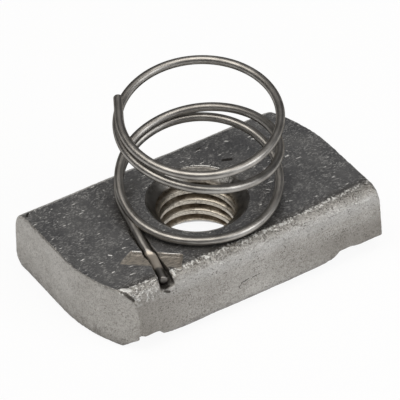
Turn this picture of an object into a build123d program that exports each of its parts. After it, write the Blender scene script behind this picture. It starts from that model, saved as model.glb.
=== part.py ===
"""Strut spring nut, M10: a grooved channel nut with a wire spring clinched into its back.

Frame: the thread axis is Z, the origin is on that axis in the plane of the underside,
X runs along the nut's length and the spring stands on the upper face. Millimetres.
"""
import os
from math import asin, cos, degrees, hypot, pi, radians, sin

from build123d import *

# ---------------------------------------------------------------- nut body, overall
nut_length = 35.0            # spans the inside of the channel
nut_thickness = 7.9
slot_side_half_width = 10.6  # from the thread axis to the long side that has the slot
back_side_half_width = 10.1  # and to the other long side
side_draft = 0.3             # the slotted side leans in by this much towards the top
draft_start = 2.6            # height where that lean starts
shoulder_width = 2.1         # rolled upper edge, measured across the nut
slot_side_shoulder_height = 2.5
back_side_shoulder_height = 3.4
slot_side_bottom_radius = 2.1
back_side_bottom_radius = 1.6
end_corner_radius = 1.2      # upright edge where a swung corner meets the long side

# ---------------------------------------------------------------- underside
boss_flat_half_length = 3.0  # flat middle of the boss that enters the channel's slot
boss_half_length = 11.2      # the boss where its flank starts
boss_edge_rise = 1.45        # the boss curves back by this much before its flank
flank_run = 0.6              # the flank leans outwards by this much
groove_outer_half = 14.05    # outer wall of the groove that takes the channel's lip
groove_depth = 2.15          # to the tips of the teeth
tooth_pitch = 1.2
tooth_depth = 0.45
foot_rise = 0.15             # the feet stand back from the boss by this much
foot_bevel_height = 1.95     # bevel under each foot, on the slotted side
foot_bevel_width = 2.3

# ---------------------------------------------------------------- thread
thread_minor_radius = 4.25   # M10 x 1.5, crests of the internal thread
countersink_radius = 5.6     # both ends of the thread

# ---------------------------------------------------------------- spring
wire_diameter = 1.0
coil_radius = 8.85           # to the middle of the wire
coil_offset_x = 0.62         # the first turn stands a little off the thread axis
coil_offset_y = 0.60
coil_drift_x = 0.06          # and each further turn a little further
coil_drift_y = -0.035
coil_base_height = 1.1       # wire centre of the first turn above the upper face
closed_pitch = 1.2           # rise of one turn where the coil is closed
open_rise = 6.55             # extra rise of the open turn between the closed ones
open_turn_start = 1.22       # counted in turns from the leg
open_turn_end = 1.97
coil_turns = 3.083
coil_end_tuck = 0.19         # the last stretch is wound this much tighter
coil_end_tuck_start = 2.78   # turn where it starts to tighten
coil_end_tuck_turns = 0.2    # and how long that takes
base_lean = 2.3              # the first turn is lifted this much on its far side
top_lean = 1.35              # and the last turn this much
lean_direction = 56.0        # degrees from +X
lean_change_start = 0.9      # turn where the lean starts to change
lean_change_turns = 1.1      # and how long it takes
bedding_softness = 0.7       # how gently the first turn comes down on the face
bedding_gap = 0.02           # between the wire and the face
tail_length = 2.95           # straight cut end of the last turn
steps_per_turn = 24

# ---------------------------------------------------------------- leg, slot and clinch
leg_end = (-10.14, -9.11)    # cut end of the leg, near the long side
leg_knee = (-9.16, -5.55)    # the leg is straight and level from its end to here
leg_heel = (-9.10, -4.0)     # then it bends, climbs
leg_crest = (-8.75, -1.6)    # and comes out of the slot
leg_heel_lift = 0.25         # how far the wire has climbed by then
leg_crest_lift = 0.75
leg_join_turn = 0.022        # the leg runs into the coil here
slot_depth = 1.05
slot_side_gap = 0.12         # between the wire and each wall of the slot
slot_mouth_flare = 0.75      # extra width of the slot at the long side
slot_head = (-8.38, 0.5)     # inner end of the slot, under the rising leg
slot_level_length = 0.5      # level floor past the knee, before it climbs to the face
clinch_length = 5.6          # chisel mark across the slot
clinch_width = 2.35
clinch_depth = 0.45
clinch_wire_bite = 0.22      # how deep the chisel bites into the wire
clinch_end_slant = 1.15      # the outer end runs out towards the long side by this much
clinch_centre = (-8.66, -5.42)
clinch_angle = -38.5         # degrees from +X
clinch_steep_run = 0.2       # plan width of the steep flank

# ---------------------------------------------------------------- worked-out values
half_length = nut_length / 2
wire_radius = wire_diameter / 2
seat_height = nut_thickness + wire_radius + bedding_gap
leg_height = nut_thickness - slot_depth + wire_radius + bedding_gap
margin = 2.0                 # how far cutters stand proud of the body


def smoothstep(value):
    """0 below 0, 1 above 1, and a smooth S between."""
    value = min(max(value, 0.0), 1.0)
    return value * value * (3 - 2 * value)


def coil_point(turn):
    """Centre of the wire after so many turns; it climbs clockwise, seen from above."""
    angle = radians(180 - 360 * turn)
    opening = smoothstep((turn - open_turn_start) / (open_turn_end - open_turn_start))
    height = nut_thickness + coil_base_height + closed_pitch * turn + open_rise * opening
    change = smoothstep((turn - lean_change_start) / lean_change_turns)
    lean = base_lean + (top_lean - base_lean) * change
    height += lean * cos(angle - radians(lean_direction))
    above = height - seat_height
    height = seat_height + (above + hypot(above, bedding_softness)) / 2
    tuck = coil_end_tuck * smoothstep((turn - coil_end_tuck_start) / coil_end_tuck_turns)
    x = coil_offset_x + coil_drift_x * turn + (coil_radius - tuck) * cos(angle)
    y = coil_offset_y + coil_drift_y * turn + (coil_radius - tuck) * sin(angle)
    return Vector(x, y, height)


def coil_direction(turn):
    """Unit tangent of the coil, pointing up the wire."""
    step = 0.001
    return (coil_point(turn + step) - coil_point(turn - step)).normalized()


# ---------------------------------------------------------------- slot cutter
slot_half = wire_radius + slot_side_gap
leg_run = (Vector(*leg_knee) - Vector(*leg_end)).normalized()
slot_mouth = Vector(*leg_end) - leg_run * (margin + slot_side_half_width + leg_end[1])
slot_route = [slot_mouth, Vector(*leg_knee), Vector(*leg_heel), Vector(*slot_head)]


def beside(route, index, distance):
    """Point of a route moved sideways, to its left when the distance is positive."""
    before = route[max(index - 1, 0)]
    after = route[min(index + 1, len(route) - 1)]
    run = (after - before).normalized()
    return route[index] + Vector(-run.Y, run.X) * distance


left_wall = [beside(slot_route, index, slot_half) for index in range(len(slot_route))]
right_wall = [beside(slot_route, index, -slot_half) for index in range(len(slot_route))]
right_wall[0] = beside(slot_route, 0, -slot_half - slot_mouth_flare)

with BuildPart() as slot_cutter:
    with BuildSketch(Plane.XY.offset(nut_thickness - slot_depth)):
        with BuildLine():
            Polyline(*left_wall, *reversed(right_wall), close=True)
        make_face()
    extrude(amount=slot_depth + margin)
    # the floor is level under the leg and then climbs to the face with the rising wire
    with BuildSketch(Plane.YZ):
        with BuildLine():
            Polyline(
                (slot_mouth.Y - margin, nut_thickness - slot_depth),
                (leg_knee[1] + slot_level_length, nut_thickness - slot_depth),
                (slot_head[1], nut_thickness),
                (slot_head[1], nut_thickness + margin),
                (slot_mouth.Y - margin, nut_thickness + margin),
                close=True,
            )
        make_face()
    extrude(amount=half_length, both=True, mode=Mode.INTERSECT)

# ---------------------------------------------------------------- clinch cutters
clinch_plane = Plane(
    origin=(clinch_centre[0], clinch_centre[1], nut_thickness),
    x_dir=Vector(-sin(radians(clinch_angle)), cos(radians(clinch_angle)), 0),
    z_dir=Vector(cos(radians(clinch_angle)), sin(radians(clinch_angle)), 0),
)


def clinch_profile(depth):
    """Cross-section of the chisel mark: one steep flank and one broad one."""
    broad = clinch_width - clinch_steep_run
    return Polyline(
        (clinch_steep_run * (1 + margin / depth), margin),
        (0, -depth),
        (-broad * (1 + margin / depth), margin),
        close=True,
    )


with BuildPart() as clinch_cutter:
    with BuildSketch(clinch_plane.offset(-clinch_length / 2)):
        with BuildLine():
            clinch_profile(clinch_depth)
        make_face()
    extrude(amount=clinch_length)
    # the outer end is a slanted facet that rises to the face along the broad flank
    broad_run = clinch_width - clinch_steep_run
    proud_steep = clinch_steep_run * (1 + margin / clinch_depth)
    proud_broad = -broad_run * (1 + margin / clinch_depth)
    with BuildSketch(clinch_plane.offset(-clinch_length / 2)):
        with BuildLine():
            clinch_profile(clinch_depth)
        make_face()
    with BuildSketch(clinch_plane.offset(-clinch_length / 2 - clinch_end_slant)):
        with BuildLine():
            Polyline(
                (proud_steep, margin),
                (-broad_run, 0),
                (proud_broad, margin),
                close=True,
            )
        make_face()
    loft(ruled=True)

with BuildPart() as wire_cutter:
    with BuildSketch(clinch_plane):
        with BuildLine():
            clinch_profile(clinch_wire_bite)
        make_face()
    extrude(amount=clinch_length / 2, both=True)

# ---------------------------------------------------------------- nut body
with BuildPart() as nut_body:
    # rolled bar section: flat top and bottom, round shoulders, one side slightly drafted
    with BuildSketch(Plane.YZ) as bar_section:
        with BuildLine():
            left_top = -slot_side_half_width + side_draft
            left_shoulder = nut_thickness - slot_side_shoulder_height
            right_shoulder = nut_thickness - back_side_shoulder_height
            Polyline(
                (left_top, left_shoulder),
                (-slot_side_half_width, draft_start),
                (-slot_side_half_width, 0),
                (back_side_half_width, 0),
                (back_side_half_width, right_shoulder),
            )
            EllipticalCenterArc(
                (back_side_half_width - shoulder_width, right_shoulder),
                shoulder_width,
                back_side_shoulder_height,
                start_angle=0,
                arc_size=90,
            )
            Line(
                (back_side_half_width - shoulder_width, nut_thickness),
                (left_top + shoulder_width, nut_thickness),
            )
            EllipticalCenterArc(
                (left_top + shoulder_width, left_shoulder),
                shoulder_width,
                slot_side_shoulder_height,
                start_angle=90,
                arc_size=90,
            )
        make_face()
        low_corners = bar_section.vertices().group_by(Axis.Y)[0].sort_by(Axis.X)
        fillet(low_corners[0], slot_side_bottom_radius)
        low_corners = bar_section.vertices().group_by(Axis.Y)[0].sort_by(Axis.X)
        fillet(low_corners[-1], back_side_bottom_radius)
    extrude(amount=half_length, both=True)

    # plan: two opposite corners are swung about the thread axis so the nut can turn
    swing_to_slot_side = degrees(asin(slot_side_half_width / half_length))
    swing_to_back_side = degrees(asin(back_side_half_width / half_length))
    with BuildSketch(Plane.XY) as plan:
        with BuildLine():
            swung_left = CenterArc((0, 0), half_length, 180, swing_to_slot_side)
            swung_right = CenterArc((0, 0), half_length, 0, swing_to_back_side)
            Polyline(
                swung_left @ 1,
                (half_length, -slot_side_half_width),
                swung_right @ 0,
            )
            Polyline(
                swung_right @ 1,
                (-half_length, back_side_half_width),
                swung_left @ 0,
            )
        make_face()
        slot_side_corner = plan.vertices().group_by(Axis.Y)[0].sort_by(Axis.X)[0]
        fillet(slot_side_corner, end_corner_radius)
        back_side_corner = plan.vertices().group_by(Axis.Y)[-1].sort_by(Axis.X)[-1]
        fillet(back_side_corner, end_corner_radius)
    extrude(amount=nut_thickness, mode=Mode.INTERSECT)

    # underside: a groove near each end for the channel's lips
    flank_foot = boss_half_length + flank_run
    boss_flat_end = (boss_flat_half_length, 0)
    boss_edge = (boss_half_length, boss_edge_rise)
    with BuildSketch(Plane.XZ):
        with BuildLine():
            TangentArc(boss_flat_end, boss_edge, tangent=(1, 0))
            Polyline(
                boss_edge,
                (flank_foot, groove_depth),
                (groove_outer_half, groove_depth),
                (groove_outer_half, foot_rise),
                (half_length + margin, foot_rise),
                (half_length + margin, -margin),
                (boss_flat_half_length, -margin),
                boss_flat_end,
            )
        make_face()
        mirror(about=Plane.YZ)
    extrude(amount=slot_side_half_width + margin, both=True, mode=Mode.SUBTRACT)

    # teeth across each groove, to bite into the lips
    groove_width = groove_outer_half - flank_foot
    tooth_count = int((slot_side_half_width + back_side_half_width) / tooth_pitch)
    middle_y = (back_side_half_width - slot_side_half_width) / 2
    for groove_start in (flank_foot, -groove_outer_half):
        with BuildSketch(Plane.YZ.offset(groove_start)):
            with Locations((middle_y, groove_depth)):
                with GridLocations(tooth_pitch, 1, tooth_count, 1):
                    Polygon(
                        (-tooth_pitch / 2, 0),
                        (tooth_pitch / 2, 0),
                        (0, tooth_depth),
                        align=None,
                    )
        extrude(amount=groove_width, mode=Mode.SUBTRACT)

    # bevel under the two feet on the slotted side
    for foot_start in (groove_outer_half, -half_length - margin):
        with BuildSketch(Plane.YZ.offset(foot_start)):
            with BuildLine():
                Polyline(
                    (-slot_side_half_width, foot_bevel_height),
                    (-slot_side_half_width + foot_bevel_width, 0),
                    (-slot_side_half_width + foot_bevel_width, -margin),
                    (-slot_side_half_width - margin, -margin),
                    (-slot_side_half_width - margin, foot_bevel_height),
                    close=True,
                )
            make_face()
        extrude(amount=half_length + margin - groove_outer_half, mode=Mode.SUBTRACT)

    # threaded hole, modelled to the crests, with both ends countersunk
    Hole(thread_minor_radius)
    rims = nut_body.edges().filter_by(GeomType.CIRCLE)
    rims = rims.filter_by(lambda rim: abs(rim.radius - thread_minor_radius) < 0.001)
    chamfer(rims, countersink_radius - thread_minor_radius)

    # slot for the spring's leg, and the chisel mark that closes it on the wire
    add(slot_cutter.part, mode=Mode.SUBTRACT)
    add(clinch_cutter.part, mode=Mode.SUBTRACT)

nut_body.part.label = "nut_body"

# ---------------------------------------------------------------- spring
end_3d = Vector(leg_end[0], leg_end[1], leg_height)
knee_3d = Vector(leg_knee[0], leg_knee[1], leg_height)
heel_3d = Vector(leg_heel[0], leg_heel[1], leg_height + leg_heel_lift)
crest_3d = Vector(leg_crest[0], leg_crest[1], leg_height + leg_crest_lift)
coil_steps = int((coil_turns - leg_join_turn) * steps_per_turn)
coil_marks = [
    leg_join_turn + (coil_turns - leg_join_turn) * step / coil_steps
    for step in range(coil_steps + 1)
]
coil_points = [coil_point(mark) for mark in coil_marks]
leg_direction = (knee_3d - end_3d).normalized()
tail_direction = coil_direction(coil_turns)
wire_points = [knee_3d, heel_3d, crest_3d, *coil_points]
wire_directions = [
    leg_direction,
    *[after - before for before, after in zip(wire_points, wire_points[2:])],
    tail_direction,
]

with BuildPart() as spring:
    with BuildLine() as wire_path:
        Line(end_3d, knee_3d)
        Spline(*wire_points, tangents=wire_directions)
        Line(coil_points[-1], coil_points[-1] + tail_direction * tail_length)
    with BuildSketch(Plane(origin=end_3d, z_dir=leg_direction)):
        Circle(wire_radius)
    sweep(path=wire_path.wires()[0])
    add(wire_cutter.part, mode=Mode.SUBTRACT)

spring.part.label = "spring"

# ---------------------------------------------------------------- files
wire_length = wire_path.wires()[0].length
swept_volume = pi * wire_radius**2 * wire_length
print(f"wire length {wire_length:.1f} mm, volume / section x length = "
      f"{spring.part.volume / swept_volume:.4f}")

os.makedirs("parts", exist_ok=True)
export_step(nut_body.part, "parts/nut_body.step")
export_step(spring.part, "parts/spring.step")
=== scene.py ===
# %% [markdown]
# # A strut spring nut, dressed for a close look
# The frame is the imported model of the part: a steel nut and one wire spring.
# Everything below is in metres and in the part's own frame: the thread axis is Z,
# the nut's underside is at z = 0, and the spring stands on the upper face.

import math
from types import SimpleNamespace

import bmesh
import bpy
import numpy as np
from mathutils import Matrix, Vector, noise


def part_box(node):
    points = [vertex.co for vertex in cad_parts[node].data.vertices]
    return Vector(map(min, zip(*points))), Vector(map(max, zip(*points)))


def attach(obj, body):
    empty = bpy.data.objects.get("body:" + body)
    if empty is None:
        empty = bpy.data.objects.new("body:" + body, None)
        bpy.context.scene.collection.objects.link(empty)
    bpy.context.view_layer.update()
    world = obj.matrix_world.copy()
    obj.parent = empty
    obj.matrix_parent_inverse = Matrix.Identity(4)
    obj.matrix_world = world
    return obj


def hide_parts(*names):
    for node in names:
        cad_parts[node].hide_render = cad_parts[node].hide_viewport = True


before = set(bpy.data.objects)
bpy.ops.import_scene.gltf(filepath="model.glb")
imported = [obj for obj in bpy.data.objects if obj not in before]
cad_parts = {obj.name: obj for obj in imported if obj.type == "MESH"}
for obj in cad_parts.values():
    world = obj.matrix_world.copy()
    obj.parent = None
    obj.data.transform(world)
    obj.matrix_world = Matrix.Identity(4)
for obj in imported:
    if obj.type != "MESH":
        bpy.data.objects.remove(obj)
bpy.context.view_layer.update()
mm = 0.001
nut_low, nut_high = (Vector(corner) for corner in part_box("nut_body"))
top_z = nut_high.z
print("nut, mm:", [round(v / mm, 2) for v in (nut_high - nut_low)])

# %% [markdown]
# ## Camera
# A small hard part is usually shown from above one long side, so that the upper face,
# one long side and one end all read. A long lens far away keeps its edges parallel.

# %% camera
azimuth, elevation, roll = (math.radians(v) for v in (-31.983, 39.468, -1.382))
camera_distance = 409.5 * mm
lens_mm = 333.8
aim_height = 5.13 * mm
aim_right, aim_up = 0.255 * mm, 2.005 * mm  # the part stands a little off the middle

back = Vector((math.sin(azimuth) * math.cos(elevation),
               -math.cos(azimuth) * math.cos(elevation),
               math.sin(elevation)))
level_right = Vector((math.cos(azimuth), math.sin(azimuth), 0))
level_up = back.cross(level_right)
side = level_right * math.cos(roll) + level_up * math.sin(roll)
upright = level_up * math.cos(roll) - level_right * math.sin(roll)
aim = Vector((0, 0, aim_height)) + side * aim_right + upright * aim_up

camera_data = bpy.data.cameras.new("camera")
camera_data.lens = lens_mm
camera_data.clip_start = 0.01
camera = bpy.data.objects.new("camera", camera_data)
camera.matrix_world = Matrix.Translation(aim + back * camera_distance) @ Matrix(
    (side, upright, back)).transposed().to_4x4()
bpy.context.scene.collection.objects.link(camera)
bpy.context.scene.camera = camera
bpy.context.scene.view_settings.view_transform = "Standard"
print("camera at, mm:", [round(v / mm) for v in camera.location])


# %% [markdown]
# ## Small helpers for shader trees
# Steel looks like steel through many faint layers: grain, pits, scratches and a change
# of gloss. Each layer is a few nodes, so short helpers keep the trees readable.

# %% shader helpers
def add_node(tree, kind, **settings):
    """A node with its settings; a setting whose name is an input sets that input."""
    node = tree.nodes.new(kind)
    for key, value in settings.items():
        if key in node.inputs:
            target = node.inputs[key]
            if isinstance(value, bpy.types.NodeSocket):
                tree.links.new(value, target)
            else:
                target.default_value = value
        else:
            setattr(node, key, value)
    return node


def math_node(tree, operation, first, second=None):
    """One Math node; the inputs are numbers or sockets."""
    node = tree.nodes.new("ShaderNodeMath")
    node.operation = operation
    for slot, value in enumerate((first, second)):
        if isinstance(value, bpy.types.NodeSocket):
            tree.links.new(value, node.inputs[slot])
        elif value is not None:
            node.inputs[slot].default_value = value
    return node.outputs[0]


def plus(tree, first, second):
    return math_node(tree, "ADD", first, second)


def minus(tree, first, second):
    return math_node(tree, "SUBTRACT", first, second)


def times(tree, first, second):
    return math_node(tree, "MULTIPLY", first, second)


def most(tree, first, second):
    return math_node(tree, "MAXIMUM", first, second)


def less(tree, value):
    """What is left of 1."""
    return minus(tree, 1.0, value)


def vector_math(tree, operation, first, second, output=0):
    """One Vector Math node; output 0 is a vector, output 1 a number."""
    node = tree.nodes.new("ShaderNodeVectorMath")
    node.operation = operation
    for slot, value in enumerate((first, second)):
        if isinstance(value, bpy.types.NodeSocket):
            tree.links.new(value, node.inputs[slot])
        elif value is not None:
            node.inputs[slot].default_value = value
    return node.outputs[output]


# %% [markdown]
# Colours are laid over each other through masks, as dirt and wear lie on real steel.
# A mask is a socket that runs from 0 to 1, and ramps and bands of it make new ones.

# %% masks and colours
def blend_colours(tree, amount, first, second):
    """Mixes two colours; each is a socket or a tuple."""
    node = tree.nodes.new("ShaderNodeMix")
    node.data_type = "RGBA"
    for slot, value in ((0, amount), (6, first), (7, second)):
        if isinstance(value, bpy.types.NodeSocket):
            tree.links.new(value, node.inputs[slot])
        else:
            node.inputs[slot].default_value = value
    return node.outputs[2]


def lay_over(tree, colour, layers):
    """Lays one colour after another over the first: each has a mask, a strength, a colour."""
    for mask, strength, layer in layers:
        colour = blend_colours(tree, times(tree, mask, strength), colour, layer)
    return colour


def ramp(tree, value, low, high):
    """0 below low, 1 above high, smooth between."""
    node = tree.nodes.new("ShaderNodeMapRange")
    node.interpolation_type = "SMOOTHSTEP"
    tree.links.new(value, node.inputs["Value"])
    node.inputs["From Min"].default_value = low
    node.inputs["From Max"].default_value = high
    return node.outputs["Result"]


def between(tree, value, low, high, soft):
    """1 from low to high, 0 outside, with soft borders."""
    return times(tree, ramp(tree, value, low - soft, low + soft),
                 less(tree, ramp(tree, value, high - soft, high + soft)))


def noise_socket(tree, where, scale, detail=3.0, rough=0.55):
    return add_node(tree, "ShaderNodeTexNoise", Vector=where, Scale=scale,
                    Detail=detail, Roughness=rough).outputs["Fac"]


def stretched(tree, coordinates, angle, stretch, scale):
    """Coordinates turned about Z and squeezed, so that a texture draws streaks."""
    node = tree.nodes.new("ShaderNodeMapping")
    tree.links.new(coordinates, node.inputs["Vector"])
    node.inputs["Rotation"].default_value = (0, 0, angle)
    node.inputs["Scale"].default_value = (scale / stretch, scale, scale)
    return node.outputs["Vector"]


def new_material(name):
    """An empty material with its Principled shader."""
    material = bpy.data.materials.new(name)
    material.use_nodes = True
    tree = material.node_tree
    tree.nodes.clear()
    shader = tree.nodes.new("ShaderNodeBsdfPrincipled")
    output = tree.nodes.new("ShaderNodeOutputMaterial")
    tree.links.new(shader.outputs[0], output.inputs["Surface"])
    return material, tree, shader


# %% [markdown]
# ## The steel of the nut
# The bar is rolled, cropped and tumbled. The upper face stays flat and glossy and is
# covered with short bright nicks; the shoulders, long sides and ends are satin and full
# of fine pits. One material does both: the height and the slope say which is which.

# %% where each finish lies
border_y = 8.45 * mm          # the upper face ends here, over the slotted side
border_swerve = 0.55 * mm     # and this much further in at the far end
border_rag = 3200             # fineness of the ragged border
face_depths = (top_z - 0.10 * mm, top_z - 0.03 * mm)
face_slopes = (0.80, 0.95)
brow_heights = (top_z - 0.9 * mm, top_z - 0.2 * mm)
foot_heights = (0.6 * mm, 3.6 * mm)


def finish_masks(tree, x, y, height, level, place):
    """Shares of face, brow and foot, and the distance inwards from the ragged border."""
    wobble = minus(tree, noise_socket(tree, place, border_rag), 0.5)
    edge = plus(tree, height, times(tree, wobble, 0.12 * mm))
    swerve = times(tree, ramp(tree, x, 5 * mm, 17 * mm), border_swerve)
    inwards = minus(tree, plus(tree, y, border_y), swerve)
    inwards = plus(tree, inwards, times(tree, wobble, 1.0 * mm))
    upper = times(tree, ramp(tree, edge, *face_depths), ramp(tree, level, *face_slopes))
    upper = times(tree, upper, ramp(tree, inwards, -0.06 * mm, 0.04 * mm))
    brow = times(tree, ramp(tree, height, *brow_heights), less(tree, upper))
    foot = less(tree, ramp(tree, height, *foot_heights))
    return upper, brow, foot, inwards


print("glossy above z, mm:", round(face_depths[1] / mm, 2))

# %% [markdown]
# Pits are the cells of a Voronoi pattern, each shrunk by a slower noise, so that they
# come in drifts. Nicks are stretched noise, cut off high, so that only the crests show.

# %% pits and nicks
brow_pits = (5200, 2600, 0.62, 0.22)  # fineness, fineness of the drifts, size, spread
foot_pits = (5200, 1000, 0.72, 0.20)
side_pits = (3600, 1300, 0.40, 0.20)
nick_kinds = (  # angle, fineness, length, cut-off, fineness of the drifts
    (0.45, 3800, 5.0, 0.725, 420), (-0.65, 4400, 4.0, 0.73, 520),
    (1.9, 4200, 4.0, 0.73, 460), (0.30, 2800, 5.0, 0.745, 380))
haze_kinds = ((0.2, 7000, 3.0, 0.60, 900), (1.4, 7600, 2.5, 0.61, 700),
              (2.5, 7200, 3.0, 0.61, 800))
kind_shift = (0.013, 0.007, 0)        # keeps the kinds from lying on each other


def pit_drift(tree, place, kind):
    """1 inside a pit; pits gather where the slow noise is high."""
    scale, drift_scale, size, spread = kind
    cells = add_node(tree, "ShaderNodeTexVoronoi", Vector=place, Scale=scale).outputs["Distance"]
    drift = ramp(tree, noise_socket(tree, place, drift_scale), 0.5 - spread, 0.5 + spread)
    return ramp(tree, minus(tree, times(tree, drift, size), cells), 0.0, 0.12)


def nick_strokes(tree, place, kinds):
    """Short strokes, gathered where a slow noise is high."""
    found = None
    for number, (angle, fineness, length, cut, gather) in enumerate(kinds):
        shifted = vector_math(tree, "ADD", place, [number * step for step in kind_shift])
        stroke = noise_socket(tree, stretched(tree, shifted, angle, length, fineness),
                              1.0, 1.0, 0.4)
        where = ramp(tree, noise_socket(tree, shifted, gather), 0.42, 0.58)
        stroke = times(tree, ramp(tree, stroke, cut, cut + 0.04), where)
        found = stroke if found is None else most(tree, found, stroke)
    return found


print("kinds of nick and haze:", len(nick_kinds), len(haze_kinds))

# %% [markdown]
# A few marks are told apart from the rest: a crease at one corner where the shear turned
# the edge over, knocks on the upper face, a small dent under the slot's mouth, a scratch
# on the side. Each is a short line. The distance from it colours the steel and, for the
# creases and one deep knock, dents the skin further on. The bright marks are painted
# glints along the countersink's rim, on the crease, on the chisel's far rim and beside the
# slot, and a few bright nicks on the upper face. The slot's dark is painted shade, and the
# bore gets one painted highlight.

# %% single marks
dark_marks = (  # start, end (mm), width (mm)
    ((-15.30, -8.30, 7.90), (-14.92, -8.95, 7.68), 0.24),
    ((-14.92, -8.95, 7.68), (-14.34, -9.72, 7.02), 0.34),
    ((4.65, 7.22, 7.90), (5.00, 7.36, 7.90), 0.26),
    ((6.08, 4.04, 7.90), (6.92, 3.72, 7.90), 0.44),
    ((-10.62, -10.02, 6.80), (-10.12, -10.12, 6.52), 0.34),
    ((-1.50, -10.50, 3.15), (-1.10, -10.48, 3.70), 0.10),
    ((-1.10, -10.48, 3.70), (-0.20, -10.47, 3.86), 0.12),
    ((0.30, -10.47, 3.84), (1.30, -10.46, 3.92), 0.09),
    ((17.15, -10.33, 5.30), (17.42, -10.10, 5.34), 0.13),
    ((-17.05, 7.95, 7.90), (-16.70, 8.35, 7.88), 0.30),
)
# painted shade in the slot and over its mouth
slot_dirt = (((-10.24, -9.40, 6.95), (-9.15, -5.50, 6.95), 1.14),)
# a painted highlight on the bore wall
bore_gleam = (((4.45, 2.30, 7.30), (5.00, 1.30, 7.48), 0.90),)
# painted glints along the countersink's rim, on the crease, on the chisel's far rim and beside the
# slot; the rest are bright nicks
bright_marks = (
    ((1.60, 5.52, 7.90), (2.30, 5.26, 7.90), 0.13),
    ((2.50, 5.20, 7.90), (3.30, 4.78, 7.90), 0.18),
    ((3.45, 4.72, 7.90), (4.20, 4.05, 7.90), 0.22),
    ((4.35, 3.90, 7.90), (4.90, 3.15, 7.90), 0.13),
    ((-10.62, -3.58, 7.90), (-9.62, -4.38, 7.88), 0.17),
    ((-8.05, -5.64, 7.88), (-6.70, -6.72, 7.88), 0.08),
    ((-15.00, -8.32, 7.90), (-14.30, -8.80, 7.80), 0.46),
    ((-8.72, -8.50, 7.88), (-8.80, -9.15, 7.62), 0.24),
    ((10.80, 5.45, 7.90), (11.20, 5.15, 7.90), 0.20),
    ((8.04, 6.80, 7.90), (8.30, 6.62, 7.90), 0.20),
    ((-13.10, -2.70, 7.90), (-12.90, -2.90, 7.90), 0.20),
    ((7.80, -5.82, 7.90), (8.05, -5.95, 7.90), 0.10),
    ((8.20, -6.00, 7.90), (8.45, -6.08, 7.90), 0.09),
    ((7.20, -2.88, 7.90), (7.50, -3.25, 7.90), 0.09),
    ((6.95, -3.30, 7.90), (7.15, -3.50, 7.90), 0.08),
)


def line_marks(tree, place, marks, wobble):
    """1 on any of the marks; each is a line with a soft, slightly wobbly border."""
    found = None
    for start, end, width in marks:
        start, run = Vector(start) * mm, (Vector(end) - Vector(start)) * mm
        offset = vector_math(tree, "SUBTRACT", place, start)
        share = vector_math(tree, "DOT_PRODUCT", offset, run / run.length_squared, 1)
        share = math_node(tree, "MINIMUM", most(tree, share, 0.0), 1.0)
        nearest = add_node(tree, "ShaderNodeVectorMath", operation="SCALE", Scale=share)
        nearest.inputs[0].default_value = run
        gap = vector_math(tree, "SUBTRACT", offset, nearest.outputs[0])
        gap = plus(tree, vector_math(tree, "LENGTH", gap, None, 1), wobble)
        mark = less(tree, ramp(tree, gap, 0.3 * width * mm, 0.65 * width * mm))
        found = mark if found is None else most(tree, found, mark)
    return found


print("dark and bright marks:", len(dark_marks), len(bright_marks))

# %% [markdown]
# The chisel pushed its facets down cleanly, so they are warm, bare and lightly lined.
# They are found by their place: along the mark, across it, and just below the face.

# %% chisel facets
clinch_middle = Vector((-8.66, -5.42, 0)) * mm
clinch_along = Vector((0.7826, -0.6225, 0))   # unit vectors, 38.5 degrees off the long side
clinch_across = Vector((0.6225, 0.7826, 0))
facet_length = (-4.0 * mm, 2.85 * mm, 0.05 * mm)  # from, to, softness
facet_width = (-2.2 * mm, 0.28 * mm, 0.05 * mm)
facet_deepest, facet_softness = 0.55 * mm, 0.02 * mm


def chisel_mask(tree, place, height, ceiling=-0.03 * mm):
    """1 on the facets; the ceiling is the highest place they reach, from the face."""
    offset = vector_math(tree, "SUBTRACT", place, clinch_middle)
    along = vector_math(tree, "DOT_PRODUCT", offset, clinch_along, 1)
    across = vector_math(tree, "DOT_PRODUCT", offset, clinch_across, 1)
    inside = times(tree, between(tree, along, *facet_length),
                   between(tree, across, *facet_width))
    return times(tree, inside, between(tree, height, top_z - facet_deepest, top_z + ceiling,
                                       facet_softness))


print("facet length, mm:", round((facet_length[1] - facet_length[0]) / mm, 2))

# %% [markdown]
# The colours are those of bare steel under a thin plating: a cool dark grey where it is
# flat and glossy, which is painted shade for the dark room that face mirrors, a warm mid
# grey where it is satin, almost white in a fresh nick and in a painted glint. Several
# colours also carry painted shade, as noted beside them.

# %% colours of the nut
# glossy colours: painted shade, darker than the steel itself, for the dark room the upper face
# mirrors
glossy_dark = (0.108, 0.108, 0.111, 1)
glossy_light = (0.165, 0.164, 0.163, 1)
satin_dark = (0.385, 0.365, 0.335, 1)
satin_light = (0.510, 0.490, 0.458, 1)
# pale flecks of grain, and the painted highlight along the rolled shoulder
brow_light = (0.640, 0.630, 0.610, 1)
# fresh nicks, and painted glints and sparkle
fresh_nick = (0.860, 0.850, 0.820, 1)
pit_dark = (0.085, 0.074, 0.062, 1)
# tarnish, and painted shade low on the sides and at the foot of the cropped end
tarnished = (0.230, 0.212, 0.188, 1)
chiselled = (0.500, 0.448, 0.385, 1)
# oil, and painted shade in corners, under the coil, along the upper face's border and on the wire's
# sunk end
oily = (0.075, 0.068, 0.060, 1)
# painted shade in the slot
old_oil = (0.035, 0.031, 0.027, 1)
print("glossy to satin, red:", glossy_dark[0], "to", satin_light[0])

# %% [markdown]
# Every layer asks the same few questions: how high, how steep, how near the border, in
# a pit or out of it. The answers are worked out once and handed on under their names.

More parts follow.
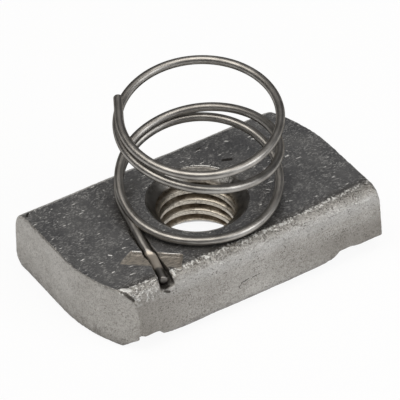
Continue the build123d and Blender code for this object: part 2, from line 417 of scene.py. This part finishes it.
# %% masks of the nut
def nut_masks(tree):
    m = SimpleNamespace()
    m.place = tree.nodes.new("ShaderNodeTexCoord").outputs["Object"]
    m.x, m.y, m.height = add_node(tree, "ShaderNodeSeparateXYZ", Vector=m.place).outputs
    normal = tree.nodes.new("ShaderNodeNewGeometry").outputs["True Normal"]
    slope_x, slope_y, level = add_node(tree, "ShaderNodeSeparateXYZ", Vector=normal).outputs
    m.to_slot_side = times(tree, slope_y, -1.0)
    m.cropped = ramp(tree, times(tree, slope_x, -1.0), 0.5, 0.8)
    m.upper, m.brow, m.foot, m.inwards = finish_masks(tree, m.x, m.y, m.height, level, m.place)
    m.lower = less(tree, m.upper)

    m.clouds = ramp(tree, noise_socket(tree, m.place, 300), 0.30, 0.70)
    m.blotch = noise_socket(tree, m.place, 1100, 5.0, 0.65)
    m.grain = noise_socket(tree, m.place, 7500, 4.0, 0.75)
    m.nicks = nick_strokes(tree, m.place, nick_kinds)
    m.haze = nick_strokes(tree, m.place, haze_kinds)
    wobble = times(tree, minus(tree, m.grain, 0.5), 0.22 * mm)
    m.darks, m.brights, m.dirt = (line_marks(tree, m.place, marks, wobble)
                                  for marks in (dark_marks, bright_marks, slot_dirt))
    m.chisel = chisel_mask(tree, m.place, m.height)
    # painted shade: a dark band on the upper face along its near border
    m.tucked = times(tree, m.upper, less(tree, ramp(tree, m.inwards, 0.1 * mm, 1.0 * mm)))
    return m


def all_pits(tree, m):
    """Fine specks and three kinds of pit; the cropped end has fewer of them."""
    speckle = noise_socket(tree, stretched(tree, m.place, 0.0, 0.7, 9500), 1.0, 2.0, 0.6)
    specks = times(tree, ramp(tree, speckle, 0.52, 0.66), 0.6)
    pits = most(tree, specks, times(tree, pit_drift(tree, m.place, side_pits), 0.8))
    pits = most(tree, pits, times(tree, pit_drift(tree, m.place, brow_pits), m.brow))
    pits = most(tree, pits, times(tree, pit_drift(tree, m.place, foot_pits), m.foot))
    return times(tree, times(tree, pits, m.lower), less(tree, times(tree, m.cropped, 0.35)))


def border_teeth(tree, m):
    """Torn steel along the border between the upper face and the shoulder, painted as a bright
    glint.
    """
    teeth = times(tree, between(tree, m.inwards, -0.50 * mm, -0.02 * mm, 0.06 * mm),
                  ramp(tree, noise_socket(tree, m.place, 3400, 2.0), 0.50, 0.57))
    return times(tree, teeth, ramp(tree, m.height, top_z - 0.5 * mm, top_z - 0.3 * mm))


# %% [markdown]
# The satin sides aren't even: the long side is darker towards the cropped end and gets
# painted shade low down towards the other, painted shade darkens the foot of the cropped
# end, a painted highlight runs along the rolled shoulder, and the corner the crop bent is
# crumpled, with painted sparkle. Pits come last, and the torn teeth, painted as a glint.

# %% satin sides
# darker towards the cropped end, and painted shade low down towards the other end, on the long side
def tarnish_mask(tree, m):
    low_end = times(tree, ramp(tree, m.x, 3 * mm, 12 * mm),
                    less(tree, ramp(tree, m.height, 3.6 * mm, 5.4 * mm)))
    tarnish = most(tree, less(tree, ramp(tree, m.x, -15 * mm, -1 * mm)), low_end)
    return times(tree, tarnish, ramp(tree, m.to_slot_side, 0.55, 0.85))


# painted shade near the foot of the cropped end
def soot_mask(tree, m):
    low = less(tree, ramp(tree, m.height, 2.2 * mm, 4.4 * mm))
    return times(tree, m.cropped, times(tree, low, ramp(tree, m.y, -7 * mm, -3 * mm)))


# painted highlight along the rolled shoulder
def rolled_mask(tree, m):
    band = between(tree, m.height, top_z - 1.9 * mm, top_z - 0.7 * mm, 0.45 * mm)
    band = times(tree, band, ramp(tree, m.to_slot_side, 0.2, 0.5))
    return times(tree, band, ramp(tree, m.x, -13 * mm, -8 * mm))


# crumpled steel at the bent corner, with painted sparkle
def crumple_mask(tree, m):
    corner = between(tree, m.x, -14.4 * mm, -10.5 * mm, 0.3 * mm)
    high = ramp(tree, m.height, top_z - 1.8 * mm, top_z - 1.1 * mm)
    corner = times(tree, corner, times(tree, high, m.lower))
    return times(tree, corner, ramp(tree, noise_socket(tree, m.place, 2600, 3.0), 0.48, 0.60))


def satin_colour(tree, m):
    mottle = noise_socket(tree, stretched(tree, m.place, 0.0, 0.8, 4600), 1.0, 3.0, 0.7)
    return lay_over(tree, blend_colours(tree, m.clouds, satin_dark, satin_light), (
        (ramp(tree, m.blotch, 0.50, 0.72), 0.30, satin_dark),
        (ramp(tree, m.grain, 0.42, 0.62), 0.50, brow_light),
        (tarnish_mask(tree, m), 0.62, tarnished),
        (soot_mask(tree, m), 0.34, tarnished),
        (m.cropped, 0.30, satin_dark),
        (ramp(tree, mottle, 0.50, 0.64), 0.55, tarnished),
        (rolled_mask(tree, m), 0.42, brow_light),
        (crumple_mask(tree, m), 0.55, fresh_nick),
        (m.pits, 0.72, pit_dark),
        (m.teeth, 1.0, fresh_nick)))


# %% [markdown]
# The upper face is glossy and nicked, with a band of painted shade along its border. Over
# face and sides alike lie the chisel's facets with their drag lines, the single marks with
# their painted glints, painted shade in corners and under the coil, and painted shade in
# the slot.

# %% whole colour of the nut
corner_reach = 2.4 * mm


def nut_colour(tree, m):
    glossy = lay_over(tree, blend_colours(tree, m.clouds, glossy_dark, glossy_light), (
        (m.tucked, 0.60, oily), (m.haze, 0.28, fresh_nick), (m.nicks, 1.0, fresh_nick)))
    drag = noise_socket(tree, stretched(tree, m.place, -0.67, 3.5, 5200), 1.0, 3.0, 0.7)
    # painted shade: ambient occlusion darkens corners and the face under the coil
    shade = add_node(tree, "ShaderNodeAmbientOcclusion", samples=6, Distance=corner_reach)
    return lay_over(tree, blend_colours(tree, m.upper, satin_colour(tree, m), glossy), (
        (m.chisel, 0.85, chiselled),
        (times(tree, m.chisel, ramp(tree, drag, 0.44, 0.56)), 0.9, tarnished),
        (m.brights, 1.0, fresh_nick),
        (less(tree, ramp(tree, shade.outputs["AO"], 0.35, 0.92)), 0.70, oily),
        (m.darks, 0.94, oily),
        (m.dirt, 0.92, old_oil)))


# %% [markdown]
# Where the steel was struck it is rough and matt, and shows the light of the whole room
# instead of one bright spot. So struck places are less metallic than the rest, and the
# polished face half so. Grain and pits also go into a fine bump.

# %% nut steel
bump_depth = 0.07 * mm


def nut_steel():
    material, tree, shader = new_material("nut_steel")
    m = nut_masks(tree)
    m.pits, m.teeth = all_pits(tree, m), border_teeth(tree, m)
    tree.links.new(nut_colour(tree, m), shader.inputs["Base Color"])

    rough = plus(tree, times(tree, m.lower, 0.16), times(tree, m.blotch, 0.14))
    rough = plus(tree, plus(tree, rough, times(tree, m.chisel, 0.06)), 0.20)
    tree.links.new(rough, shader.inputs["Roughness"])
    struck = times(tree, most(tree, most(tree, m.nicks, m.brights), m.teeth), 0.9)
    struck = most(tree, struck, times(tree, m.haze, 0.5))
    struck = most(tree, struck, times(tree, m.chisel, 0.45))
    bare = times(tree, most(tree, struck, times(tree, m.upper, 0.5)), less(tree, m.darks))
    tree.links.new(less(tree, bare), shader.inputs["Metallic"])

    relief = minus(tree, times(tree, m.grain, 0.45), times(tree, m.pits, 0.9))
    relief = times(tree, relief, plus(tree, times(tree, m.lower, 0.85), 0.15))
    relief = minus(tree, relief, times(tree, m.nicks, 0.5))
    relief = minus(tree, relief, times(tree, m.haze, 0.12))
    bump = add_node(tree, "ShaderNodeBump", Height=relief, Strength=1.0, Distance=bump_depth)
    tree.links.new(bump.outputs["Normal"], shader.inputs["Normal"])
    return material


steel = nut_steel()
print("steel nodes:", len(steel.node_tree.nodes))

# %% [markdown]
# ## The nut
# The solid already has the true form: grooves, teeth, slot and chisel mark. A copy of
# it is remeshed into a fine even skin, because a tumbled part has no sharp edge and
# its skin is never quite flat. The bore is opened first, to take the thread.

# %% nut skin
skin_step = 0.12 * mm
skin_triangles = 185000
bore_radius = 5.62 * mm  # between the thread and the outside of the sleeve that carries it


def tidy_object(name, mesh):
    thing = bpy.data.objects.new(name, mesh)
    bpy.context.scene.collection.objects.link(thing)
    return thing


def apply_modifiers(thing):
    """The mesh that the modifiers give becomes the object's own."""
    depsgraph = bpy.context.evaluated_depsgraph_get()
    depsgraph.update()
    made = bpy.data.meshes.new_from_object(thing.evaluated_get(depsgraph))
    thing.modifiers.clear()
    thing.data = made


def bore_plug():
    """A plain round plug, longer than the nut is thick."""
    mesh = bpy.data.meshes.new("bore_plug")
    shape = bmesh.new()
    bmesh.ops.create_cone(shape, cap_ends=True, segments=128, radius1=bore_radius,
                          radius2=bore_radius, depth=3 * top_z)
    shape.to_mesh(mesh)
    shape.free()
    return tidy_object("bore_plug", mesh)


nut = tidy_object("nut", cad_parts["nut_body"].data.copy())
plug = bore_plug()
opening = nut.modifiers.new("open_bore", "BOOLEAN")
opening.operation, opening.solver, opening.object = "DIFFERENCE", "EXACT", plug
remesh = nut.modifiers.new("even_skin", "REMESH")
remesh.mode, remesh.voxel_size = "VOXEL", skin_step
smooth = nut.modifiers.new("ease_steps", "SMOOTH")
smooth.factor, smooth.iterations = 0.5, 2
apply_modifiers(nut)
bpy.data.objects.remove(plug)
print("nut skin faces:", len(nut.data.polygons))

# %% [markdown]
# ## Rolled and tumbled skin
# Rolling leaves long faint waves, cropping and tumbling leave a fine orange-peel. Both
# are moved into the skin point by point along its normals, and the flat upper face gets
# far less of them, so that its border against the shoulder turns ragged by itself.

# %% noise on points
def read_points(mesh):
    """Places and normals of a mesh's points, one row each."""
    points = np.empty(len(mesh.vertices) * 3)
    normals = np.empty(len(mesh.vertices) * 3)
    mesh.vertices.foreach_get("co", points)
    mesh.vertices.foreach_get("normal", normals)
    return points.reshape(-1, 3), normals.reshape(-1, 3)


def skin_noise(points, wavelength, octaves=2):
    """Smooth noise from about -1 to 1 whose bumps are about one wavelength apart."""
    return np.array([noise.fractal(Vector(point) / wavelength, 0.6, 2.1, octaves)
                     for point in points])


def smooth_between(value, low, high):
    share = np.clip((value - low) / (high - low), 0, 1)
    return share * share * (3 - 2 * share)


# %% [markdown]
# The waves and the peel fade out where the upper face begins, so it stays flat to its
# border. The creases and one knock are pressed in along the short lines that colour them.

# %% roughen the skin
peel_size, peel_height = 0.45 * mm, 0.016 * mm
wave_size, wave_height = 3.2 * mm, 0.035 * mm
nip_size, nip_depth, nip_share = 0.8 * mm, 0.05 * mm, 0.15
flat_share = 0.93                      # of all this is missing on the upper face
dented_marks = dark_marks[:2] + dark_marks[-2:-1]  # the creases and the end's knock
dent_borders, dent_depth = (0.2, 0.75), 0.45  # of a mark's width

points, normals = read_points(nut.data)
flat_top = smooth_between(points[:, 2], top_z - 0.10 * mm, top_z - 0.02 * mm)
flat_top *= smooth_between(normals[:, 2], 0.8, 0.98)
peel = skin_noise(points, peel_size) * peel_height
waves = skin_noise(points, wave_size) * wave_height
nips = np.clip(skin_noise(points + 7 * mm, nip_size) - nip_share, 0, 1) * nip_depth
move = (peel + waves - nips) * (1 - flat_share * flat_top)
for start, end, width in dented_marks:
    start, run = np.array(start) * mm, (np.array(end) - np.array(start)) * mm
    share = np.clip((points - start) @ run / (run @ run), 0, 1)
    gap = np.linalg.norm(points - start - share[:, None] * run, axis=1) / (width * mm)
    move -= (1 - smooth_between(gap, *dent_borders)) * dent_depth * width * mm
points += normals * move[:, None]
points[:, 2] = np.clip(points[:, 2], 0, top_z)
nut.data.vertices.foreach_set("co", points.ravel())
nut.data.update()

thin = nut.modifiers.new("thin_out", "DECIMATE")
thin.ratio = skin_triangles / (2 * len(nut.data.polygons))
apply_modifiers(nut)
nut.data.polygons.foreach_set("use_smooth", [True] * len(nut.data.polygons))
nut.data.materials.clear()
nut.data.materials.append(steel)
print("nut triangles:", sum(len(face.vertices) - 2 for face in nut.data.polygons))

# %% [markdown]
# ## The thread
# A tapped hole is a ridge that climbs the wall once per pitch. Seen along the wall it
# is a 60 degree zigzag with a flat crest and a narrow root. A grid wrapped round the
# axis takes its radius from that zigzag, and the countersinks cut both of its ends.

# %% thread profile
thread_pitch = 1.5 * mm
thread_crest = 4.22 * mm
thread_root = 5.0 * mm
crest_share, root_share = 0.30, 0.10   # of half a pitch
bore_wall = 4.25 * mm
countersink = 5.6 * mm
countersink_depth = countersink - bore_wall
burr_height = 0.02 * mm


def thread_radius(turn, height):
    """Radius of the thread's wall; turn is in whole turns, height in metres."""
    place_in_pitch = (height / thread_pitch - turn) % 1.0
    from_crest = abs(place_in_pitch - 0.5) * 2
    flank = (from_crest - crest_share) / (1 - crest_share - root_share)
    flank = min(max(flank, 0.0), 1.0)
    flank = flank * 0.7 + 0.3 * flank * flank * (3 - 2 * flank)
    return thread_crest + (thread_root - thread_crest) * flank


def wall_point(turn, height):
    """A point of the threaded wall, slightly burred, never inside the countersinks."""
    angle = 2 * math.pi * turn
    place = Vector((math.cos(angle), math.sin(angle), 0))
    cone = bore_wall + max(0, countersink_depth - height, height - (top_z - countersink_depth))
    burr = noise.fractal(Vector((place.x * 5, place.y * 5, height / mm * 1.4)), 0.6, 2.1, 3)
    wall = max(thread_radius(turn, height) + burr * burr_height, cone)
    return place * wall + Vector((0, 0, height))


print("thread turns:", round(top_z / thread_pitch, 1))

# %% [markdown]
# The sleeve is a closed ring of steel: the threaded wall inside, and a plain outside that
# sits in the opened bore. Each ring of points has the same number, so quads join them.

# %% thread sleeve
sleeve_outside = 5.8 * mm
sleeve_inset = 0.02 * mm  # keeps the sleeve's outside off the nut's faces
round_steps, height_steps = 320, 170


def join_rings(shape, rings):
    """Quads between each ring of points and the next."""
    for lower, higher in zip(rings, rings[1:]):
        for step in range(len(lower)):
            after = (step + 1) % len(lower)
            shape.faces.new((lower[step], lower[after], higher[after], higher[step]))


def thread_sleeve():
    mesh = bpy.data.meshes.new("thread")
    shape = bmesh.new()
    turns = [step / round_steps for step in range(round_steps)]
    rings = [[shape.verts.new(wall_point(turn, top_z * level / height_steps)) for turn in turns]
             for level in range(height_steps + 1)]
    for height in (top_z - sleeve_inset, sleeve_inset):
        rings.append([shape.verts.new((sleeve_outside * math.cos(2 * math.pi * turn),
                                       sleeve_outside * math.sin(2 * math.pi * turn), height))
                      for turn in turns])
    join_rings(shape, rings + rings[:1])
    bmesh.ops.recalc_face_normals(shape, faces=shape.faces)
    for face in shape.faces:
        face.smooth = True
    shape.to_mesh(mesh)
    shape.free()
    return tidy_object("thread", mesh)


thread = thread_sleeve()
print("thread triangles:", 2 * len(thread.data.polygons))

# %% [markdown]
# A tap leaves the crests rubbed and bright and the roots brown with old oil. The
# countersinks keep the fine marks of the tool that turned them.

# %% bore steel
flank_dark, flank_light = (0.185, 0.150, 0.115, 1), (0.360, 0.315, 0.255, 1)
rubbed_dark, rubbed_light = (0.40, 0.36, 0.30, 1), (0.60, 0.56, 0.49, 1)
turned_dark, turned_light = (0.17, 0.16, 0.15, 1), (0.28, 0.27, 0.25, 1)
countersink_end = 0.3 * mm


def bore_steel():
    material, tree, shader = new_material("bore_steel")
    place = tree.nodes.new("ShaderNodeTexCoord").outputs["Object"]
    x, y, height = add_node(tree, "ShaderNodeSeparateXYZ", Vector=place).outputs
    radius = math_node(tree, "SQRT", plus(tree, times(tree, x, x), times(tree, y, y)))
    borders = 0.4 * countersink_depth, 0.8 * countersink_depth
    inside = times(tree, ramp(tree, minus(tree, top_z - countersink_end, height), *borders),
                   ramp(tree, minus(tree, height, countersink_end), *borders))
    wear = less(tree, ramp(tree, radius, bore_wall, 4.60 * mm))
    smear = noise_socket(tree, place, 900, 4.0)
    specks = noise_socket(tree, place, 5200, 2.0)
    flank = blend_colours(tree, ramp(tree, smear, 0.35, 0.65), flank_dark, flank_light)
    rubbed = blend_colours(tree, ramp(tree, specks, 0.35, 0.70), rubbed_dark, rubbed_light)
    turned = blend_colours(tree, ramp(tree, smear, 0.30, 0.70), turned_dark, turned_light)
    threaded = blend_colours(tree, wear, flank, rubbed)
    grime = ramp(tree, noise_socket(tree, place, 1700, 4.0, 0.7), 0.52, 0.64)
    # painted highlight on one patch of the bore wall
    gleam = times(tree, line_marks(tree, place, bore_gleam, 0.0),
                  times(tree, ramp(tree, specks, 0.38, 0.58), 0.50))
    colour = lay_over(tree, blend_colours(tree, inside, turned, threaded),
                      ((grime, 0.55, oily), (gleam, 1.0, fresh_nick)))
    tree.links.new(colour, shader.inputs["Base Color"])
    tree.links.new(plus(tree, times(tree, smear, 0.2), 0.22), shader.inputs["Roughness"])
    tree.links.new(less(tree, gleam), shader.inputs["Metallic"])
    bump = add_node(tree, "ShaderNodeBump", Height=specks, Strength=0.4, Distance=0.03 * mm)
    tree.links.new(bump.outputs["Normal"], shader.inputs["Normal"])
    return material


thread.data.materials.append(bore_steel())
print("thread material:", thread.data.materials[0].name)

# %% [markdown]
# ## The spring
# One wire makes the leg in the slot, a closed turn on the face, an open turn, and a
# closed turn on top. Its middle line is worked out turn by turn. The coil drifts a
# little sideways as it climbs and leans less and less, as a coil off a real pin does.

# %% middle line of the coil, in mm
wire_radius = 0.5 * mm
wire_seat = 0.52             # middle of the wire above what it lies on
coil_radius = 8.85
coil_x, coil_y = 0.62, 0.60
drift_x, drift_y = 0.06, -0.035
base_height, closed_pitch = 1.1, 1.2
open_rise, open_start, open_turns = 6.55, 1.22, 0.75
base_lean, top_lean = 2.3, 1.35
lean_start, lean_turns, lean_heading = 0.9, 1.1, math.radians(56)
bedding_softness = 0.7
tuck, tuck_start, tuck_turns = 0.19, 2.78, 0.2
face_height = top_z / mm


def ease(value):
    value = min(max(value, 0.0), 1.0)
    return value * value * (3 - 2 * value)


def coil_place(turn):
    """Middle of the wire after so many turns; the first turn comes down on the face."""
    angle = math.radians(180 - 360 * turn)
    height = face_height + base_height + closed_pitch * turn
    height += open_rise * ease((turn - open_start) / open_turns)
    lean = base_lean + (top_lean - base_lean) * ease((turn - lean_start) / lean_turns)
    height += lean * math.cos(angle - lean_heading)
    seat = face_height + wire_seat
    above = height - seat
    height = seat + (above + math.hypot(above, bedding_softness)) / 2
    radius = coil_radius - tuck * ease((turn - tuck_start) / tuck_turns)
    return Vector((coil_x + drift_x * turn + radius * math.cos(angle),
                   coil_y + drift_y * turn + radius * math.sin(angle), height))


first_turn, last_turn = 0.022, 3.083
print("coil top, mm:", round(max(coil_place(turn).z for turn in (2.6, 2.8, 3.0)), 1))

# %% [markdown]
# The leg lies level in the slot, bends at its knee and climbs out into the first turn.
# At the top the wire runs straight on for a few millimetres to its cropped end.

# %% whole middle line
slot_depth = 1.05
leg_height = face_height - slot_depth + wire_seat
leg_end = Vector((-10.14, -9.11, leg_height))
knee = Vector((-9.16, -5.55, leg_height))
heel = Vector((-9.10, -4.0, leg_height + 0.25))
crest = Vector((-8.75, -1.6, leg_height + 0.75))
tail_length = 2.95
leg_steps, bend_steps, coil_steps, tail_steps = 12, 8, 500, 10


def bend(before, start, end, after, share):
    """A point on the smooth run from start to end, with its neighbours as guides."""
    leave, arrive = (end - before) / 2, (after - start) / 2
    t, t2, t3 = share, share ** 2, share ** 3
    return (start * (2 * t3 - 3 * t2 + 1) + leave * (t3 - 2 * t2 + t)
            + end * (3 * t2 - 2 * t3) + arrive * (t3 - t2))


stations = [leg_end, knee, heel, crest, coil_place(first_turn), coil_place(first_turn + 1 / 24)]
line = [leg_end + (knee - leg_end) * step / leg_steps for step in range(leg_steps)]
for place in range(1, 4):
    line += [bend(*stations[place - 1:place + 3], step / bend_steps) for step in range(bend_steps)]
line += [coil_place(turn) for turn in np.linspace(first_turn, last_turn, coil_steps)]
tail_way = (coil_place(last_turn) - coil_place(last_turn - 0.002)).normalized()
line += [line[-1] + tail_way * tail_length * step / tail_steps
         for step in range(1, tail_steps + 1)]
line = [point * mm for point in line]
print("wire, mm:", round(sum((b - a).length for a, b in zip(line, line[1:])) / mm, 1))

# %% [markdown]
# ## Wire skin
# The wire is drawn through a die and cropped: round, with blunt ends whose rims are
# barely broken. The chisel that closes the slot also leaves a nick across the leg.

# %% rings along the wire
around = 28
wire_ends = ((0.62, 0.0), (0.90, 0.03), (1.0, 0.12))  # share of the radius, inset in mm


def wire_ring(shape, centre, way, across, size):
    """A ring of points square to the wire."""
    lift = way.cross(across)
    return [shape.verts.new(centre + (across * math.cos(a) + lift * math.sin(a)) * size)
            for a in (2 * math.pi * n / around for n in range(around))]


def wire_rings(shape):
    """Rings from end to end, and how far along the wire each one is."""
    way = (line[1] - line[0]).normalized()
    across = way.cross(Vector((0, 0, 1))).normalized()
    rings, distance, travelled = [], [], 0.0
    for size, inset in wire_ends:
        rings.append(wire_ring(shape, line[0] + way * inset * mm, way, across,
                               wire_radius * size))
        distance.append(inset * mm)
    for index in range(1, len(line)):
        before, here = line[index - 1], line[index]
        after = line[min(index + 1, len(line) - 1)]
        travelled += (here - before).length
        way = (after - before).normalized()
        across = (across - way * across.dot(way)).normalized()
        if index < len(line) - 1:
            rings.append(wire_ring(shape, here, way, across, wire_radius))
            distance.append(travelled)
    for size, inset in reversed(wire_ends):
        rings.append(wire_ring(shape, line[-1] - way * inset * mm, way, across,
                               wire_radius * size))
        distance.append(travelled - inset * mm)
    return rings, distance


print("wire rings:", len(line) - 2 + 2 * len(wire_ends))

# %% [markdown]
# The rings are skinned into a tube that knows how far along the wire each point is. Then
# the chisel's bite presses the points of the leg down, as deep as the mark in the steel
# beside it allows.

# %% wire tube
bite_reach = 2.8 * mm               # half the length of the chisel's mark
bite_broad, bite_steep = 2.15, 0.6  # how far the bite runs down each flank, in mm
bite_depth, bite_rise = 0.22, 0.42  # at the chisel's edge; lost again up the steep flank
bite_level = 0.05                   # the bite is measured from this far above the face


def wire_tube():
    mesh = bpy.data.meshes.new("wire")
    shape = bmesh.new()
    along = shape.loops.layers.uv.new("along_wire")
    rings, distance = wire_rings(shape)
    join_rings(shape, rings)
    for number, face in enumerate(shape.faces):
        face.smooth = True
        ring, step = divmod(number, around)
        near, far = distance[ring] / mm, distance[ring + 1] / mm
        here, after = step / around, (step + 1) / around
        for loop, mark in zip(face.loops, ((here, near), (after, near), (after, far), (here, far))):
            loop[along].uv = mark
    shape.faces.new(list(reversed(rings[0])))
    shape.faces.new(rings[-1])
    for vert in shape.verts:
        offset = vert.co - clinch_middle
        across = offset.dot(clinch_across) / mm
        if abs(offset.dot(clinch_along)) < bite_reach and -bite_broad < across < bite_steep:
            depth = (bite_depth * (1 + across / bite_broad) if across < 0
                     else bite_depth - bite_rise * across / bite_steep)
            vert.co.z = min(vert.co.z, top_z + (bite_level - depth) * mm)
    shape.to_mesh(mesh)
    shape.free()
    return tidy_object("wire", mesh)


wire = wire_tube()
print("wire triangles:", sum(len(face.vertices) - 2 for face in wire.data.polygons))

# %% [markdown]
# Drawn stainless wire is satin along its length, with fine die lines and a few dark
# specks. Where the chisel bit it, it takes the chisel's colour; its sunk end gets painted
# shade, and a dark tint at the rim of its reflections is painted shade too.

# %% wire steel
wire_dark, wire_light = (0.30, 0.285, 0.265, 1), (0.43, 0.412, 0.385, 1)
die_line, wire_speck = (0.24, 0.228, 0.212, 1), (0.16, 0.15, 0.14, 1)
# a dark tint for the wire's grazing reflections: painted shade at its rim
wire_edge_film = (0.12, 0.11, 0.10, 1)


def wire_steel():
    material, tree, shader = new_material("wire_steel")
    lengthwise = add_node(tree, "ShaderNodeUVMap", uv_map="along_wire").outputs[0]
    place = tree.nodes.new("ShaderNodeTexCoord").outputs["Object"]
    _, y, height = add_node(tree, "ShaderNodeSeparateXYZ", Vector=place).outputs
    die = add_node(tree, "ShaderNodeMapping", Vector=lengthwise, Scale=(40.0, 0.6, 1.0))
    lines = noise_socket(tree, die.outputs[0], 1.0, 4.0, 0.5)
    clouds = noise_socket(tree, place, 700, 3.0, 0.5)
    specks = noise_socket(tree, place, 5200, 2.0, 0.5)
    bitten = times(tree, chisel_mask(tree, place, height, 0.10 * mm), 0.85)
    # painted shade on the leg where it lies sunk in the slot
    sunk = times(tree, less(tree, ramp(tree, height, top_z - 0.15 * mm, top_z + 0.05 * mm)),
                 less(tree, ramp(tree, y, -7.7 * mm, -6.9 * mm)))
    drawn = blend_colours(tree, ramp(tree, clouds, 0.3, 0.7), wire_dark, wire_light)
    colour = lay_over(tree, drawn, (
        (ramp(tree, lines, 0.55, 0.75), 1.0, die_line),
        (ramp(tree, specks, 0.68, 0.76), 1.0, wire_speck),
        (bitten, 1.0, chiselled),
        (sunk, 0.6, oily)))
    tree.links.new(colour, shader.inputs["Base Color"])
    tree.links.new(plus(tree, times(tree, lines, 0.08), 0.33), shader.inputs["Roughness"])
    tree.links.new(less(tree, times(tree, bitten, 0.5)), shader.inputs["Metallic"])
    # painted shade at the wire's rim, through a dark edge tint
    shader.inputs["Specular Tint"].default_value = wire_edge_film
    bump = add_node(tree, "ShaderNodeBump", Height=lines, Strength=0.12, Distance=0.03 * mm)
    tree.links.new(bump.outputs["Normal"], shader.inputs["Normal"])
    return material


wire.data.materials.append(wire_steel())
print("wire material:", wire.data.materials[0].name)

# %% [markdown]
# ## What stands for what
# The nut's skin and its thread stand for the solid nut, and the wire for the solid
# spring. Nothing moves here, so all of it rides on the one body.

# %% ties to the frame
for piece, node, slot in ((nut, "nut_body", "nut"), (thread, "nut_body", "nut"),
                          (wire, "spring", "wire")):
    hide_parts(node)
    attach(piece, "root")
    print(piece.name, "stands for", node)

# %% [markdown]
# ## Floor
# A pale floor lights the sides from below. The camera and the reflections in metal see
# it almost as pure white, while it still takes the part's shadow like any matt floor.

# %% floor
floor_reach, floor_drop = 1.5, 0.02 * mm
floor_white = (0.93, 0.93, 0.93, 1)
floor_glow = 0.92  # share of plain white where the floor is seen or mirrored


def pale_floor():
    mesh = bpy.data.meshes.new("floor")
    mesh.from_pydata([(-floor_reach, -floor_reach, 0), (floor_reach, -floor_reach, 0),
                      (floor_reach, floor_reach, 0), (-floor_reach, floor_reach, 0)],
                     [], [(0, 1, 2, 3)])
    floor = tidy_object("floor", mesh)
    floor.location.z = -floor_drop
    material = bpy.data.materials.new("floor_white")
    material.use_nodes = True
    tree = material.node_tree
    tree.nodes.clear()
    matt = add_node(tree, "ShaderNodeBsdfDiffuse", Color=floor_white)
    glow = add_node(tree, "ShaderNodeEmission", Color=(1, 1, 1, 1), Strength=1.0)
    seen = tree.nodes.new("ShaderNodeLightPath")
    direct = most(tree, seen.outputs["Is Camera Ray"], seen.outputs["Is Glossy Ray"])
    both = add_node(tree, "ShaderNodeMixShader")
    tree.links.new(times(tree, direct, floor_glow), both.inputs[0])
    tree.links.new(matt.outputs[0], both.inputs[1])
    tree.links.new(glow.outputs[0], both.inputs[2])
    output = tree.nodes.new("ShaderNodeOutputMaterial")
    tree.links.new(both.outputs[0], output.inputs["Surface"])
    mesh.materials.append(material)


pale_floor()
print("floor, m:", 2 * floor_reach, "square")

# %% [markdown]
# ## Sky
# Metal shows what is around it. The room is dark, so that the upper face and the flanks
# of the wire stay dark, and one bright opening overhead draws a single long highlight
# along the wire. A dim strip beyond the part lifts the far half of the upper face.

# %% sky
horizon_grey = (0.22, 0.22, 0.22, 1)
room_grey = (0.085, 0.085, 0.088, 1)
strip_grey = (0.24, 0.24, 0.245, 1)
opening_white = (3.20, 3.10, 2.95, 1)
strip_beside, strip_beyond = (-0.12, 0.30, 0.08), (0.2, 0.4)  # from, to, softness
opening_beside, opening_beyond = (-0.60, 0.32, 0.12), (-0.50, 0.16, 0.12)
opening_heights = (0.5, 0.8)
level_away = level_right.cross(Vector((0, 0, -1)))


def studio_sky():
    world = bpy.data.worlds.new("studio")
    bpy.context.scene.world = world
    world.use_nodes = True
    tree = world.node_tree
    tree.nodes.clear()
    heading = tree.nodes.new("ShaderNodeTexCoord").outputs["Generated"]
    up = add_node(tree, "ShaderNodeSeparateXYZ", Vector=heading).outputs["Z"]
    beside = vector_math(tree, "DOT_PRODUCT", heading, level_right, 1)
    beyond = vector_math(tree, "DOT_PRODUCT", heading, level_away, 1)
    strip = times(tree, between(tree, beside, *strip_beside), ramp(tree, beyond, *strip_beyond))
    opening = times(tree, between(tree, beside, *opening_beside),
                    between(tree, beyond, *opening_beyond))
    opening = times(tree, opening, ramp(tree, up, *opening_heights))
    room = blend_colours(tree, ramp(tree, up, 0.04, 0.20), horizon_grey, room_grey)
    room = blend_colours(tree, strip, room, strip_grey)
    colour = blend_colours(tree, opening, room, opening_white)
    sky = add_node(tree, "ShaderNodeBackground", Color=colour, Strength=1.0)
    output = tree.nodes.new("ShaderNodeOutputWorld")
    tree.links.new(sky.outputs[0], output.inputs["Surface"])


studio_sky()
print("opening, red:", opening_white[0])

# %% [markdown]
# ## Lamps
# Two soft panels stand on the slot's side: a cool one low down, for the long side and
# the end, and a neutral one higher up, which shapes the rolled shoulder.

# %% lamps
panels = (  # name, place (mm), width (m), watts, tint
    ("window_panel", (205, -400, 235), 0.30, 0.50, (0.94, 0.97, 1.0)),
    ("shoulder_panel", (230, -340, 360), 0.26, 0.55, (1, 1, 1)))
for name, place, width, watts, tint in panels:
    lamp = bpy.data.lights.new(name, "AREA")
    lamp.size, lamp.energy, lamp.color = width, watts, tint
    panel = bpy.data.objects.new(name, lamp)
    panel.location = Vector(place) * mm
    panel.rotation_euler = (-panel.location).to_track_quat("-Z", "Y").to_euler()
    bpy.context.scene.collection.objects.link(panel)
print("panels:", len(panels))
